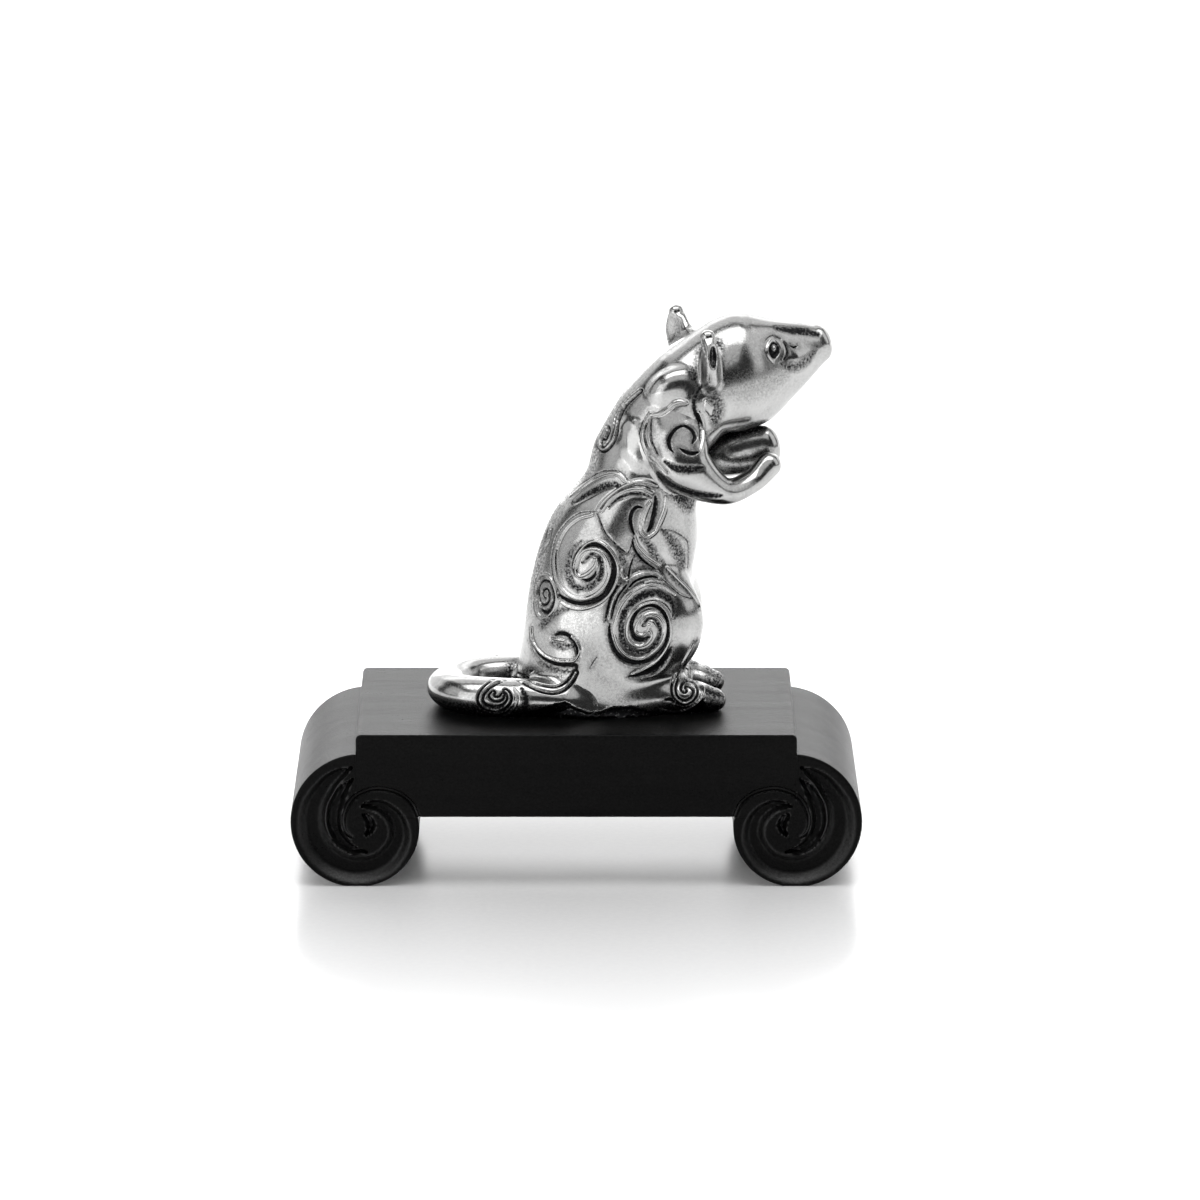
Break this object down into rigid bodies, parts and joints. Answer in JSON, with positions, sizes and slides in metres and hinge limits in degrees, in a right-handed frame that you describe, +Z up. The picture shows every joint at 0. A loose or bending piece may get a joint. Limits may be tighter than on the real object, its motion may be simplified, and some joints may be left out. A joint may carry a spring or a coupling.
{
  "type": "rat figurine",
  "caption": "Cast pewter rat ornament that sits up with raised forepaws, its coat in scroll relief, on a black wooden plinth with rolled scroll ends; it stands free on a flat surface.",
  "frame": {"origin": "centre of the plinth, on the surface that it stands on", "axes": "+X the way the rat faces, along the plinth's length; +Y towards the rat's left side; +Z up"},
  "size_m": [0.1, 0.0474, 0.0973],
  "materials": {
    "pewter": "polished pewter, antiqued dark in the grooves",
    "black_wood": "satin black lacquer over fine grain",
    "beech": "raw",
    "steel": "zinc plated",
    "brass": "turned"
  },
  "bodies": {
    "root": {"body_casting": "pewter", "head_casting": "pewter", "right_ear": "pewter", "left_ear": "pewter", "right_foreleg": "pewter", "left_foreleg": "pewter", "tail": "pewter", "sole_plate": "pewter", "rear_threaded_insert": "brass", "rear_washer": "steel", "rear_screw": "steel", "front_threaded_insert": "brass", "front_washer": "steel", "front_screw": "steel", "plinth_block": "black_wood", "left_scroll": "black_wood", "right_scroll": "black_wood", "dowel_1": "beech", "dowel_2": "beech", "dowel_3": "beech", "dowel_4": "beech"}
  },
  "joints": []
}
